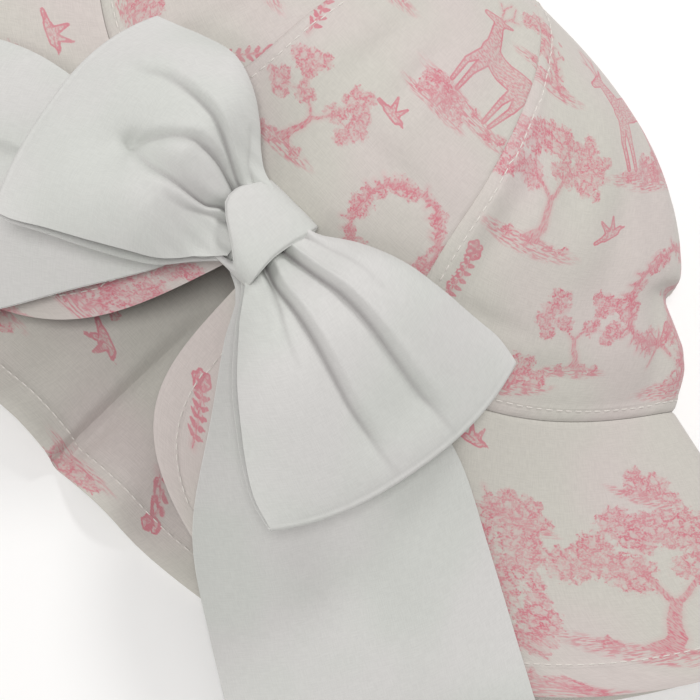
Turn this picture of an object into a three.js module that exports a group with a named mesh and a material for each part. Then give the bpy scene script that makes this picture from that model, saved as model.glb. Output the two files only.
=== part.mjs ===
// A baby's sun hat of lined cotton, lying on its front with the crown half full.
// A six-panel crown, a flared brim split at the centre back, and a wide sash tied there in a bow.
// Millimetres, +Z up. The origin is on the table, in the middle of the flat that the crown rests on.
// +Y runs from the split towards the top of the crown, and +X to the right as the bow is seen.
import * as THREE from "three";
import { mergeVertices } from "three/addons/utils/BufferGeometryUtils.js";

// Cloth and clearances
const CLOTH = 1.2; // crown and brim, two layers of cotton with interfacing
const SASH_CLOTH = 1.0; // sash, two layers
const SEAM_GAP = 0.3; // between pieces that are sewn edge to edge
const LAY_GAP = 0.3; // between a piece and the piece that it lies on
const TAIL_REACH = 2.4; // round each point of a tail, where the cloth under it counts
const LOOP_REACH = 1.2; // round each point of a loop, likewise

// Crown, as it lies
const CROWN_HALF_WIDTH = 107; // at the seam with the brim
const CROWN_REACH = 106; // from the seam at the centre back to the far end
const CROWN_HEIGHT = 68; // highest point above the table
const REST_DISTANCE = 42; // from the seam at the centre back to the origin
const FLAT_SHARE = 0.8; // share of the section's turn that isn't pressed flat on the table
const BACK_SEAM_ANGLE = 21; // degrees from the centre back to the first panel seam
const TOP_LEAN = 9; // how far the top leans to the left
const TIP_WIDTH = 2.4; // of each panel, where the six meet at the top
const DENT_DEPTH = 7; // of the crease in the right side of the crown

// Brim
const BRIM_WIDTH = 73; // from the seam to the hem
const BRIM_SIDE_TURN = 80; // degrees that the brim turns outwards at the sides
const SPLIT_ANGLE = 0.7; // degrees from the centre back to each end of the brim, at the seam
const HEM_HEIGHT = 22; // highest point of the hem, where the brim folds round at the sides
const FRONT_FOLD_HEIGHT = 7; // of the fold at the centre front

// Bow and tails
const SASH_WIDTH = 74; // of the flat sash
const RIGHT_LOOP_LENGTH = 70.5; // from the middle of the knot to the middle of the loop's end
const LEFT_LOOP_LENGTH = 58.5;
const LOOP_PUFF = 13; // between the two layers of a loop, at the fullest
const LOOP_FOLD = 3.2; // outer height of the fold at the loop's end
const LOOP_AT_KNOT = 7; // between the two layers where they go into the knot
const LOOP_BULGE = 8; // how far the middle of the loop's end stands out beyond its corners
const PLEAT_DEPTH = 1.4; // of the gathers beside the knot
const KNOT_WIDTH = 18; // across the bow
const KNOT_DEPTH = 22; // along Y
const KNOT_HEIGHT = 13;
const KNOT_LEFT = 4.5; // from the middle of the hat to the middle of the knot
const KNOT_BEHIND_SEAM = 1; // from the seam at the centre back to the middle of the knot
const TAIL_START = 6; // from the middle of the knot, beneath it
const TAIL_LENGTH = 178; // from the middle of the knot to the end

// Stations from the seam to the top. Shares of CROWN_HALF_WIDTH (width), CROWN_REACH (Y) and CROWN_HEIGHT (Z).
// The last column says how late each station turns towards its side.
const CROWN_STATIONS = [
  { along: 0.0, width: 1.0, backY: 0.0, sideY: 0.52, frontY: 0.02, backZ: 0.7, sideZ: 0.32, frontZ: 0.03, late: 3.4 },
  { along: 0.12, width: 0.95, backY: 0.12, sideY: 0.62, frontY: 0.14, backZ: 0.84, sideZ: 0.34, frontZ: 0.0, late: 3.1 },
  { along: 0.25, width: 0.87, backY: 0.26, sideY: 0.7, frontY: 0.27, backZ: 0.94, sideZ: 0.36, frontZ: 0.0, late: 2.8 },
  { along: 0.4, width: 0.8, backY: 0.43, sideY: 0.78, frontY: 0.43, backZ: 1.0, sideZ: 0.38, frontZ: 0.0, late: 2.5 },
  { along: 0.55, width: 0.7, backY: 0.6, sideY: 0.87, frontY: 0.59, backZ: 0.98, sideZ: 0.4, frontZ: 0.0, late: 2.3 },
  { along: 0.7, width: 0.56, backY: 0.77, sideY: 0.945, frontY: 0.74, backZ: 0.89, sideZ: 0.43, frontZ: 0.03, late: 2.1 },
  { along: 0.82, width: 0.4, backY: 0.89, sideY: 0.985, frontY: 0.86, backZ: 0.77, sideZ: 0.45, frontZ: 0.12, late: 2.0 },
  { along: 0.92, width: 0.22, backY: 0.965, sideY: 1.0, frontY: 0.95, backZ: 0.63, sideZ: 0.46, frontZ: 0.27, late: 2.0 },
  { along: 1.0, width: 0.0, backY: 1.0, sideY: 1.0, frontY: 1.0, backZ: 0.47, sideZ: 0.47, frontZ: 0.47, late: 2.0 },
];
// Height of the hem round the brim, as a share of HEM_HEIGHT, by degrees from the centre back.
const HEM_STATIONS = [
  { angle: 0, height: 0.5 },
  { angle: 30, height: 0.62 },
  { angle: 60, height: 0.98 },
  { angle: 75, height: 1.0 },
  { angle: 90, height: 0.66 },
  { angle: 105, height: 0.27 },
  { angle: 120, height: 0.08 },
  { angle: 145, height: 0.0 },
  { angle: 180, height: 0.0 },
];
// The two ends of the brim: degrees that each leans away from the centre, and that its corner rounds off.
const BRIM_ENDS = {
  right: { lean: 0.5, corner: 20 },
  left: { lean: 13, corner: 12 },
};
// Which way each loop points, in degrees below the line of the bow.
const LOOPS = {
  right: { side: 1, drop: 11, length: RIGHT_LOOP_LENGTH },
  left: { side: -1, drop: 10.5, length: LEFT_LOOP_LENGTH },
};
// Which way each tail points, in degrees below the line of the bow.
const TAILS = {
  right: { side: 1, drop: 27 },
  left: { side: -1, drop: 30 },
};
// Widths of the loops by share of their length from the middle of the knot, as shares of SASH_WIDTH.
const LOOP_WIDTHS = [
  { out: 0.13, right: 0.28, left: 0.38 },
  { out: 0.25, right: 0.47, left: 0.55 },
  { out: 0.4, right: 0.64, left: 0.69 },
  { out: 0.6, right: 0.81, left: 0.8 },
  { out: 0.79, right: 0.94, left: 0.84 },
  { out: 0.9, right: 1.0, left: 0.85 },
  { out: 1.0, right: 1.0, left: 0.85 },
];
// Widths of the tails by share of TAIL_LENGTH from the middle of the knot, as shares of SASH_WIDTH.
const TAIL_WIDTHS = [
  { out: 0.03, width: 0.2 },
  { out: 0.075, width: 0.21 },
  { out: 0.125, width: 0.36 },
  { out: 0.215, width: 0.57 },
  { out: 0.365, width: 0.92 },
  { out: 0.51, width: 1.0 },
  { out: 1.0, width: 1.04 },
];

// Mesh divisions
const PANEL_ROWS = 12;
const PANEL_COLUMNS = 10;
const BRIM_ROWS = 8;
const LOOP_ROWS = 13;
const LOOP_FOLD_ROWS = 4;
const LOOP_COLUMNS = 12;
const TAIL_ROWS = 24;
const TAIL_COLUMNS = 10;
const KNOT_SIDES = 20;
const KNOT_RINGS = 8;
const LOOP_GATHERS = 3; // gathers across a loop beside the knot
const LOOP_PASSES = 160; // rounds of evening out a loop laid on the hat
const TAIL_PASSES = 26; // rounds of evening out a tail, which hangs more limply

const COTTON_PRINT = { color: 0xf3e9e6, roughness: 0.85, metalness: 0 };
const COTTON_WHITE = { color: 0xf1f1ef, roughness: 0.8, metalness: 0 };

const rad = THREE.MathUtils.degToRad;
const clamp = THREE.MathUtils.clamp;
const lerp = THREE.MathUtils.lerp;

// A smooth curve through one column of a table, by its key column. It never goes beyond the rows beside it.
function columnAt(table, key, column, at) {
  const last = table.length - 1;
  let i = 0;
  while (i < last - 1 && at > table[i + 1][key]) i += 1;
  const row = (k) => table[clamp(k, 0, last)];
  const slope = (k) => {
    const before = row(k - 1);
    const after = row(k + 1);
    const turns = (after[column] - row(k)[column]) * (row(k)[column] - before[column]) <= 0;
    return turns && k > 0 && k < last ? 0 : (after[column] - before[column]) / (after[key] - before[key]);
  };
  const span = row(i + 1)[key] - row(i)[key];
  const f = clamp((at - row(i)[key]) / span, 0, 1);
  const rise = row(i)[column] * (2 * f ** 3 - 3 * f ** 2 + 1) + row(i + 1)[column] * (3 * f ** 2 - 2 * f ** 3);
  return rise + span * (slope(i) * (f ** 3 - 2 * f ** 2 + f) + slope(i + 1) * (f ** 3 - f ** 2));
}

// Outer face of the crown: turn in degrees from the centre back (0) by the right side (90) to the front (180),
// along from the seam (0) to the top (1).
function crownPoint(turn, along) {
  const at = (column) => columnAt(CROWN_STATIONS, "along", column, along);
  const across = Math.sin(rad(turn));
  const back = Math.cos(rad(turn));
  const side = Math.abs(across);
  const middleY = lerp(at("frontY"), at("backY"), (1 + back) / 2);
  const y = CROWN_REACH * (middleY + (at("sideY") - middleY) * side ** at("late"));
  const sideZ = CROWN_HEIGHT * at("sideZ");
  const frontZ = CROWN_HEIGHT * at("frontZ");
  const backZ = CROWN_HEIGHT * at("backZ");
  const pressed = clamp(-back / FLAT_SHARE, 0, 1);
  const z = back >= 0 ? lerp(sideZ, backZ, back) : frontZ + (sideZ - frontZ) * (1 - pressed) ** 2;
  const dent = DENT_DEPTH * Math.exp(-(((turn - 82) / 17) ** 2) - ((along - 0.27) / 0.075) ** 2);
  const x = CROWN_HALF_WIDTH * at("width") * across - dent - TOP_LEAN * along ** 1.2;
  return new THREE.Vector3(x, y - REST_DISTANCE, z);
}

// A small fold at the centre front of the brim: the left part rises before it meets the middle.
function frontFold(x, out) {
  const left = Math.exp(-(((x + 17) / 12) ** 2));
  const right = 0.35 * Math.exp(-(((x - 14) / 13) ** 2));
  return FRONT_FOLD_HEIGHT * (left + right) * out ** 1.5;
}

// Outer face of the brim: out is the share of the way from the seam to the hem.
function brimPoint(turn, out) {
  const seam = crownPoint(turn, 0);
  const around = Math.abs(((turn + 180) % 360) - 180);
  const hemZ = HEM_HEIGHT * columnAt(HEM_STATIONS, "angle", "height", around);
  const outwards = (rad(BRIM_SIDE_TURN) * (1 - Math.cos(2 * rad(turn)))) / 2;
  const reach = Math.sqrt(BRIM_WIDTH ** 2 - (seam.z - hemZ) ** 2) * out;
  const sign = Math.sign(Math.sin(rad(turn))) || 1;
  const x = seam.x + sign * reach * Math.sin(outwards);
  const y = seam.y - reach * Math.cos(outwards);
  const front = clamp(-Math.cos(rad(turn)), 0, 1);
  const z = lerp(hemZ, seam.z, (1 - out) ** lerp(1.15, 2, front)) + frontFold(x, out) * front ** 8;
  return new THREE.Vector3(x, y, z);
}

// A closed body from two faces, each a grid of points: a face on the outside, and one a cloth's thickness in.
function clothBody(outside, inside) {
  const rows = outside.length;
  const columns = outside[0].length;
  const points = [...outside.flat(), ...inside.flat()];
  const position = new Float32Array(points.flatMap((p) => [p.x, p.y, p.z]));
  const top = (i, j) => i * columns + j;
  const under = (i, j) => rows * columns + i * columns + j;
  const faces = [];
  const quad = (a, b, c, d) => faces.push(a, b, c, a, c, d);
  for (let i = 0; i < rows - 1; i += 1) {
    for (let j = 0; j < columns - 1; j += 1) {
      quad(top(i, j), top(i, j + 1), top(i + 1, j + 1), top(i + 1, j));
      quad(under(i, j), under(i + 1, j), under(i + 1, j + 1), under(i, j + 1));
    }
  }
  for (let j = 0; j < columns - 1; j += 1) {
    quad(top(0, j), under(0, j), under(0, j + 1), top(0, j + 1));
    quad(top(rows - 1, j + 1), under(rows - 1, j + 1), under(rows - 1, j), top(rows - 1, j));
  }
  for (let i = 0; i < rows - 1; i += 1) {
    quad(top(i + 1, 0), under(i + 1, 0), under(i, 0), top(i, 0));
    quad(top(i, columns - 1), under(i, columns - 1), under(i + 1, columns - 1), top(i + 1, columns - 1));
  }
  const geometry = new THREE.BufferGeometry();
  geometry.setAttribute("position", new THREE.BufferAttribute(position, 3));
  geometry.setIndex(faces);
  const closed = mergeVertices(geometry, 1e-4);
  closed.computeVertexNormals();
  return closed;
}

// Outer face of the whole hat: along runs from the hem (-1) by the seam (0) to the top (1).
function hatPoint(turn, along) {
  return along < 0 ? brimPoint(turn, -along) : crownPoint(turn, along);
}

// Unit normal of the outer face. It is the same on both sides of every seam, so the walls never meet there.
function hatNormal(turn, along) {
  const turnStep = 0.8;
  const alongStep = 0.012;
  const middle = Math.abs(along) < alongStep / 2 ? 0 : along;
  const up = Math.min(middle + alongStep, 1);
  const down = Math.max(middle - alongStep, -1);
  const across = hatPoint(turn + turnStep, along).sub(hatPoint(turn - turnStep, along));
  return across.cross(hatPoint(turn, up).sub(hatPoint(turn, down))).normalize();
}

// A wall of the hat: a grid of [turn, along] with the outer face at each, and the inner a cloth's thickness in.
function hatWall(stations) {
  const outside = stations.map((row) => row.map(([turn, along]) => hatPoint(turn, along)));
  const inside = stations.map((row, i) =>
    row.map(([turn, along], j) => outside[i][j].clone().addScaledVector(hatNormal(turn, along), -CLOTH)),
  );
  return clothBody(outside, inside);
}

// Unit normals of a grid of points, from each point's neighbours.
function gridNormals(grid) {
  const rows = grid.length;
  const columns = grid[0].length;
  return grid.map((row, i) =>
    row.map((_, j) => {
      const along = grid[Math.min(i + 1, rows - 1)][j].clone().sub(grid[Math.max(i - 1, 0)][j]);
      const across = row[Math.min(j + 1, columns - 1)].clone().sub(row[Math.max(j - 1, 0)]);
      return across.cross(along).normalize();
    }),
  );
}

// A cloth body with its outer face on the grid. Nothing goes below the table.
function clothFromGrid(grid, thickness) {
  const normals = gridNormals(grid);
  const inside = grid.map((row, i) => row.map((p, j) => p.clone().addScaledVector(normals[i][j], -thickness)));
  return clothBody(grid, inside);
}

function gridOf(rows, columns, pointAt) {
  return Array.from({ length: rows + 1 }, (_, i) =>
    Array.from({ length: columns + 1 }, (_, j) => pointAt(i / rows, j / columns)),
  );
}

function pieceOf(name, geometry, finish) {
  const mesh = new THREE.Mesh(geometry, new THREE.MeshStandardMaterial(finish));
  mesh.name = name;
  return mesh;
}

// Panel seams, in degrees from the centre back.
const PANELS = [
  { name: "crown_panel_back", from: -BACK_SEAM_ANGLE, to: BACK_SEAM_ANGLE },
  { name: "crown_panel_back_right", from: BACK_SEAM_ANGLE, to: 90 },
  { name: "crown_panel_front_right", from: 90, to: 180 - BACK_SEAM_ANGLE },
  { name: "crown_panel_front", from: 180 - BACK_SEAM_ANGLE, to: 180 + BACK_SEAM_ANGLE },
  { name: "crown_panel_front_left", from: 180 + BACK_SEAM_ANGLE, to: 270 },
  { name: "crown_panel_back_left", from: 270, to: 360 - BACK_SEAM_ANGLE },
];

function rowLength(pointAt) {
  const steps = 12;
  let length = 0;
  for (let k = 0; k < steps; k += 1) length += pointAt(k / steps).distanceTo(pointAt((k + 1) / steps));
  return length;
}

function crownPanel({ name, from, to }) {
  const first = SEAM_GAP / 2 / (CROWN_REACH * 1.15);
  const tip = 1 - TIP_WIDTH / CROWN_HALF_WIDTH;
  const stations = gridOf(PANEL_ROWS, PANEL_COLUMNS, (i, j) => {
    const along = lerp(first, tip, i);
    const inset = SEAM_GAP / 2 / rowLength((share) => crownPoint(lerp(from, to, share), along));
    return [lerp(from, to, lerp(inset, 1 - inset, j)), along];
  });
  return pieceOf(name, hatWall(stations), COTTON_PRINT);
}

// How far in from the split an end of the brim lies, in degrees beyond where its column starts at the seam.
function brimEndShift({ lean, corner }, out) {
  return lean * out + corner * out ** 5;
}

// The brim's columns start at those of the panels, so the two sides of the seam run alike.
function brimColumns() {
  const across = PANELS.flatMap(({ from, to }) =>
    Array.from({ length: PANEL_COLUMNS }, (_, k) => lerp(from, to, k / PANEL_COLUMNS)),
  );
  const turns = across.filter((turn) => turn > SPLIT_ANGLE).concat(360 - BACK_SEAM_ANGLE);
  const last = across.filter((turn) => turn < -SPLIT_ANGLE).slice(1);
  return [SPLIT_ANGLE, ...turns, ...last.map((turn) => turn + 360), 360 - SPLIT_ANGLE];
}

function brim() {
  const first = SEAM_GAP / 2 / BRIM_WIDTH;
  const columns = brimColumns();
  const stations = gridOf(BRIM_ROWS, columns.length - 1, (i, j) => {
    const out = lerp(1, first, i);
    const turn = columns[Math.round(j * (columns.length - 1))];
    const right = brimEndShift(BRIM_ENDS.right, out) * clamp(1 - turn / 90, 0, 1);
    const left = brimEndShift(BRIM_ENDS.left, out) * clamp(1 - (360 - turn) / 90, 0, 1);
    return [turn + right - left, -out];
  });
  return pieceOf("brim", hatWall(stations), COTTON_PRINT);
}

// Height of the highest of some meshes over a point of the table, or 0.
function heightOver(meshes) {
  const triangles = [];
  for (const mesh of meshes) {
    const p = mesh.geometry.getAttribute("position");
    const index = mesh.geometry.getIndex();
    for (let k = 0; k < index.count; k += 3) {
      const corners = [0, 1, 2].map((c) => new THREE.Vector3().fromBufferAttribute(p, index.getX(k + c)));
      const area = corners[1].clone().sub(corners[0]).cross(corners[2].clone().sub(corners[0]));
      if (area.z > 0) triangles.push({ corners, box: new THREE.Box3().setFromPoints(corners) });
    }
  }
  return (x, y) => {
    let best = 0;
    for (const { corners, box } of triangles) {
      if (x < box.min.x || x > box.max.x || y < box.min.y || y > box.max.y || box.max.z < best) continue;
      const [a, b, c] = corners;
      const whole = (b.x - a.x) * (c.y - a.y) - (c.x - a.x) * (b.y - a.y);
      const u = ((b.x - x) * (c.y - y) - (c.x - x) * (b.y - y)) / whole;
      const v = ((c.x - x) * (a.y - y) - (a.x - x) * (c.y - y)) / whole;
      if (u < 0 || v < 0 || u + v > 1) continue;
      best = Math.max(best, u * a.z + v * b.z + (1 - u - v) * c.z);
    }
    return best;
  };
}

// Lays a grid of plan points on what is under them: it bridges hollows and never dips into what it lies on.
function lay(plan, heightAt, passes, reach) {
  const offsets = [-reach, 0, reach];
  const floor = plan.map((row) =>
    row.map((p) => {
      const near = Math.max(...offsets.flatMap((a) => offsets.map((b) => heightAt(p.x + a, p.y + b))));
      return near > 0 ? near + LAY_GAP : 0;
    }),
  );
  let height = floor;
  for (let pass = 0; pass < passes; pass += 1) {
    height = height.map((row, i, all) =>
      row.map((h, j) => {
        const around = [all[i - 1]?.[j], all[i + 1]?.[j], row[j - 1], row[j + 1]].filter(Number.isFinite);
        const mean = around.reduce((sum, value) => sum + value, 0) / around.length;
        return Math.max(floor[i][j], mean);
      }),
    );
  }
  return height;
}

// A point of the sash in plan: out along a line that drops below the bow's own, and across it.
// The sash leaves the knot square to the bow and turns square to its line further out.
function sashPoint({ side, drop }, out, across, turned) {
  const line = rad(drop);
  const square = rad(drop * turned);
  const x = out * Math.cos(line) + across * Math.sin(square);
  const y = -out * Math.sin(line) + across * Math.cos(square);
  return new THREE.Vector3(side * x - KNOT_LEFT, y - REST_DISTANCE - KNOT_BEHIND_SEAM, 0);
}

// Puts a left-hand grid in the order that keeps its outer face out.
function handed(grid, side) {
  return side > 0 ? grid.map((row) => [...row].reverse()) : grid;
}

function tail(side, setting, heightAt) {
  const plan = gridOf(TAIL_ROWS, TAIL_COLUMNS, (i, j) => {
    const out = lerp(TAIL_START, TAIL_LENGTH, i);
    const width = SASH_WIDTH * columnAt(TAIL_WIDTHS, "out", "width", out / TAIL_LENGTH);
    return sashPoint(setting, out, (j - 0.5) * width, 1);
  });
  const height = lay(plan, heightAt, TAIL_PASSES, TAIL_REACH);
  const top = plan.map((row, i) => row.map((p, j) => p.clone().setZ(height[i][j] + SASH_CLOTH)));
  return pieceOf("tail_" + side, clothFromGrid(handed(top, setting.side), SASH_CLOTH), COTTON_WHITE);
}

// A loop: the sash runs out from the knot along the bottom, folds over, and comes back along the top.
function loop(side, setting, heightAt) {
  const start = KNOT_WIDTH / 2 + SEAM_GAP;
  const plan = gridOf(LOOP_ROWS, LOOP_COLUMNS, (i, j) => {
    const out = lerp(start, setting.length, i);
    const width = SASH_WIDTH * columnAt(LOOP_WIDTHS, "out", side, out / setting.length);
    const bulge = LOOP_BULGE * (2 * j - 1) ** 2 * i ** 2;
    return sashPoint(setting, out - bulge, (j - 0.5) * width, i);
  });
  const under = lay(plan, heightAt, LOOP_PASSES, LOOP_REACH);
  const gathers = (i, j) => PLEAT_DEPTH * (1 - i) ** 2 * Math.cos(rad(LOOP_GATHERS * 360 * j));
  const apart = (i, j) => {
    const puff = LOOP_PUFF * Math.sin(Math.PI * i ** 0.9) * (1 - (2 * j - 1) ** 4 * 0.55);
    return lerp(LOOP_AT_KNOT, LOOP_FOLD, i) + Math.max(puff, 0) + gathers(i, j);
  };
  const bottomRow = (i) => plan[i].map((p, j) => p.clone().setZ(under[i][j]));
  const topRow = (i) =>
    plan[i].map((p, j) => p.clone().setZ(under[i][j] + apart(i / LOOP_ROWS, j / LOOP_COLUMNS)));
  const rows = Array.from({ length: LOOP_ROWS + 1 }, (_, i) => i);
  const outward = sashPoint(setting, 1, 0, 1).sub(sashPoint(setting, 0, 0, 1));
  const foldRow = (k) => {
    const turn = rad(-90 + (180 * k) / LOOP_FOLD_ROWS);
    return plan[LOOP_ROWS].map((p, j) =>
      p
        .clone()
        .setZ(under[LOOP_ROWS][j] + (LOOP_FOLD / 2) * (1 + Math.sin(turn)))
        .addScaledVector(outward, (LOOP_FOLD / 2) * Math.cos(turn)),
    );
  };
  const folds = Array.from({ length: LOOP_FOLD_ROWS - 1 }, (_, k) => foldRow(k + 1));
  const grid = [...rows.map(bottomRow), ...folds, ...rows.reverse().map(topRow)];
  return pieceOf("bow_loop_" + side, clothFromGrid(handed(grid, -setting.side), SASH_CLOTH), COTTON_WHITE);
}

// The knot: a cushion of wound cloth, lofted across the bow, that sits on the tails.
function knot(heightAt) {
  const halfWidth = KNOT_WIDTH / 2;
  const halfDepth = KNOT_DEPTH / 2;
  const middleY = -REST_DISTANCE - KNOT_BEHIND_SEAM;
  const under = [-halfWidth, 0, halfWidth].flatMap((x) =>
    [-halfDepth, 0, halfDepth].map((y) => heightAt(x - KNOT_LEFT, middleY + y)),
  );
  const bottom = Math.max(...under) + LAY_GAP;
  const points = [];
  for (let ring = 0; ring <= KNOT_RINGS; ring += 1) {
    const across = (2 * ring) / KNOT_RINGS - 1;
    const full = 1 - 0.16 * across ** 4;
    for (let k = 0; k < KNOT_SIDES; k += 1) {
      const turn = (2 * Math.PI * k) / KNOT_SIDES;
      const y = Math.sign(Math.cos(turn)) * Math.abs(Math.cos(turn)) ** 0.6 * halfDepth * full;
      const z = Math.sign(Math.sin(turn)) * Math.abs(Math.sin(turn)) ** 0.7 * (KNOT_HEIGHT / 2) * full;
      points.push(across * halfWidth - KNOT_LEFT, middleY + y, bottom + KNOT_HEIGHT / 2 + z);
    }
  }
  const faces = [];
  for (let ring = 0; ring < KNOT_RINGS; ring += 1) {
    for (let k = 0; k < KNOT_SIDES; k += 1) {
      const next = (k + 1) % KNOT_SIDES;
      const [a, b] = [ring * KNOT_SIDES, (ring + 1) * KNOT_SIDES];
      faces.push(a + k, a + next, b + next, a + k, b + next, b + k);
    }
  }
  const last = KNOT_RINGS * KNOT_SIDES;
  for (let k = 1; k < KNOT_SIDES - 1; k += 1) {
    faces.push(0, k + 1, k, last, last + k, last + k + 1);
  }
  const geometry = new THREE.BufferGeometry();
  geometry.setAttribute("position", new THREE.Float32BufferAttribute(points, 3));
  geometry.setIndex(faces);
  geometry.computeVertexNormals();
  return pieceOf("bow_knot", geometry, COTTON_WHITE);
}

const crown = PANELS.map(crownPanel);
const hat = [...crown, brim()];
const overHat = heightOver(hat);
const tails = Object.entries(TAILS).map(([side, setting]) => tail(side, setting, overHat));
const overTails = heightOver([...hat, ...tails]);
const loops = Object.entries(LOOPS).map(([side, setting]) => loop(side, setting, overTails));

const parts = new THREE.Group();
parts.add(...hat, ...tails, ...loops, knot(overTails));

export default parts;
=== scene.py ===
import math

import bpy
import numpy as np
from mathutils import Matrix, Vector


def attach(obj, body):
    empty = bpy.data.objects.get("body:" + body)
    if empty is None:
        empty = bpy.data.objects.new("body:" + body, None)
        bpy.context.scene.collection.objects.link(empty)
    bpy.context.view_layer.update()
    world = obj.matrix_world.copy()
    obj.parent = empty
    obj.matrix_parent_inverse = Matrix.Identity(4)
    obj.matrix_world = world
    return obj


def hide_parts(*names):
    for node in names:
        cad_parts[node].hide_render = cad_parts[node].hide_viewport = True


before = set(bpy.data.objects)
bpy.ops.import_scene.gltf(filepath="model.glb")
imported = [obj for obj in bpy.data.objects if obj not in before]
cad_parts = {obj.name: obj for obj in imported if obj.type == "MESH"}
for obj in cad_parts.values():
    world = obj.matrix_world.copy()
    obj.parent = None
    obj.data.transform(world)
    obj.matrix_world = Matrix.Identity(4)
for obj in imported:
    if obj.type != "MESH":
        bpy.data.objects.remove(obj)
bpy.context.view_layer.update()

MM = 0.001

# Sizes of the hat in millimetres and angles in degrees, as in the CAD
CLOTH = 1.2
SASH_CLOTH = 1.0
HALF_WIDTH = 107.0
REACH = 106.0
HEIGHT = 68.0
REST = 42.0  # from the origin to the crown's seam at the centre back
FLAT = 0.8  # how far towards the front it takes to press the crown flat, of 1
BACK_SEAM = 21.0  # half the back panel
TOP_LEAN = 9.0
DENT = 7.0  # in the crown's right side
BRIM = 73.0  # width
SIDE_TURN = 80.0  # how far outwards the brim points at the sides
SPLIT = 0.7  # half the gap between the brim's ends
HEM = 22.0  # highest the hem stands
FOLD = 7.0  # height of the fold in the brim's front
# along, width, back Y, side Y, front Y, back Z, side Z, front Z, late
CROWN = np.array([
    [0.0, 1.0, 0.0, 0.52, 0.02, 0.7, 0.32, 0.03, 3.4],
    [0.12, 0.95, 0.12, 0.62, 0.14, 0.84, 0.34, 0.0, 3.1],
    [0.25, 0.87, 0.26, 0.7, 0.27, 0.94, 0.36, 0.0, 2.8],
    [0.4, 0.8, 0.43, 0.78, 0.43, 1.0, 0.38, 0.0, 2.5],
    [0.55, 0.7, 0.6, 0.87, 0.59, 0.98, 0.4, 0.0, 2.3],
    [0.7, 0.56, 0.77, 0.945, 0.74, 0.89, 0.43, 0.03, 2.1],
    [0.82, 0.4, 0.89, 0.985, 0.86, 0.77, 0.45, 0.12, 2.0],
    [0.92, 0.22, 0.965, 1.0, 0.95, 0.63, 0.46, 0.27, 2.0],
    [1.0, 0.0, 1.0, 1.0, 1.0, 0.47, 0.47, 0.47, 2.0],
])
# angle from the centre back, height of the hem as a share of HEM
HEM_TABLE = np.array([
    [0, 0.5], [30, 0.62], [60, 0.98], [75, 1.0], [90, 0.66], [105, 0.27], [120, 0.08], [145, 0.0], [180, 0.0],
])
# how far each end of the brim leans at its hem, and how far its corner is drawn out
ENDS = {"right": (0.5, 20.0), "left": (13.0, 12.0)}


def lerp(a, b, f):
    return a + (b - a) * f


def smooth(a, b, x):
    f = np.clip((x - a) / (b - a), 0, 1)
    return f * f * (3 - 2 * f)


def bell(d, width, d2=0.0, width2=1.0):
    """A soft hump, 1 where the distances are nought."""
    return np.exp(-((d / width) ** 2) - (d2 / width2) ** 2)


def grid_of(down, across):
    return np.meshgrid(down, across, indexing="ij")


def column(table, c, at):
    """A smooth curve through one column of a table, by its first column."""
    key, val = table[:, 0], table[:, c]
    n = len(key) - 1
    at = np.asarray(at, float)
    i = np.clip(np.searchsorted(key, at) - 1, 0, n - 1)
    lo, hi = np.clip(np.arange(n + 1) - 1, 0, n), np.clip(np.arange(n + 1) + 1, 0, n)
    slope = (val[hi] - val[lo]) / (key[hi] - key[lo])
    turns = (val[hi] - val) * (val - val[lo]) <= 0
    turns[[0, -1]] = False
    slope[turns] = 0
    span = key[i + 1] - key[i]
    f = np.clip((at - key[i]) / span, 0, 1)
    rise = val[i] * (2 * f**3 - 3 * f**2 + 1) + val[i + 1] * (3 * f**2 - 2 * f**3)
    return rise + span * (slope[i] * (f**3 - 2 * f**2 + f) + slope[i + 1] * (f**3 - f**2))


def crown_point(turn, along):
    width, back_y, side_y, front_y, back_z, side_z, front_z, late = (column(CROWN, c, along) for c in range(1, 9))
    t = np.radians(turn)
    across, back = np.sin(t), np.cos(t)
    mid = lerp(front_y, back_y, (1 + back) / 2)
    y = REACH * (mid + (side_y - mid) * np.abs(across) ** late)
    pressed = np.clip(-back / FLAT, 0, 1)
    z = np.where(back >= 0, lerp(side_z, back_z, back), front_z + (side_z - front_z) * (1 - pressed) ** 2)
    dent = DENT * bell(turn - 82, 17, along - 0.27, 0.075)
    x = HALF_WIDTH * width * across - dent - TOP_LEAN * along**1.2
    return np.stack([x, y - REST, z * HEIGHT], -1)


def brim_point(turn, out):
    seam = crown_point(turn, 0 * turn)
    around = np.abs((turn + 180) % 360 - 180)
    hem_z = HEM * column(HEM_TABLE, 1, around)
    t = np.radians(turn)
    outwards = np.radians(SIDE_TURN) * (1 - np.cos(2 * t)) / 2
    reach = np.sqrt(BRIM**2 - (seam[..., 2] - hem_z) ** 2) * out
    sign = np.where(np.sin(t) >= 0, 1, -1)
    x = seam[..., 0] + sign * reach * np.sin(outwards)
    y = seam[..., 1] - reach * np.cos(outwards)
    front = np.clip(-np.cos(t), 0, 1)
    fold = FOLD * (bell(x + 17, 12) + 0.35 * bell(x - 14, 13)) * out**1.5
    z = lerp(hem_z, seam[..., 2], (1 - out) ** lerp(1.15, 2, front)) + fold * front**8
    return np.stack([x, y, z], -1)


def hat_point(turn, along):
    return np.where((along < 0)[..., None], brim_point(turn, np.abs(along)), crown_point(turn, np.abs(along)))


def hat_normal(turn, along):
    step = 0.012
    up, down = np.minimum(along + step, 1), np.maximum(along - step, -1)
    across = hat_point(turn + 0.8, along) - hat_point(turn - 0.8, along)
    n = np.cross(across, hat_point(turn, up) - hat_point(turn, down))
    return n / np.maximum(np.linalg.norm(n, axis=-1, keepdims=True), 1e-9)


# Meshes
TABLE_GAP = 0.02  # nothing comes nearer to the table than this


def grid_faces(rows, cols, start=0, flip=False):
    i, j = np.meshgrid(np.arange(rows - 1), np.arange(cols - 1), indexing="ij")
    a = start + i * cols + j
    quads = np.stack([a, a + 1, a + cols + 1, a + cols], -1).reshape(-1, 4)
    return quads[:, ::-1] if flip else quads


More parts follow.
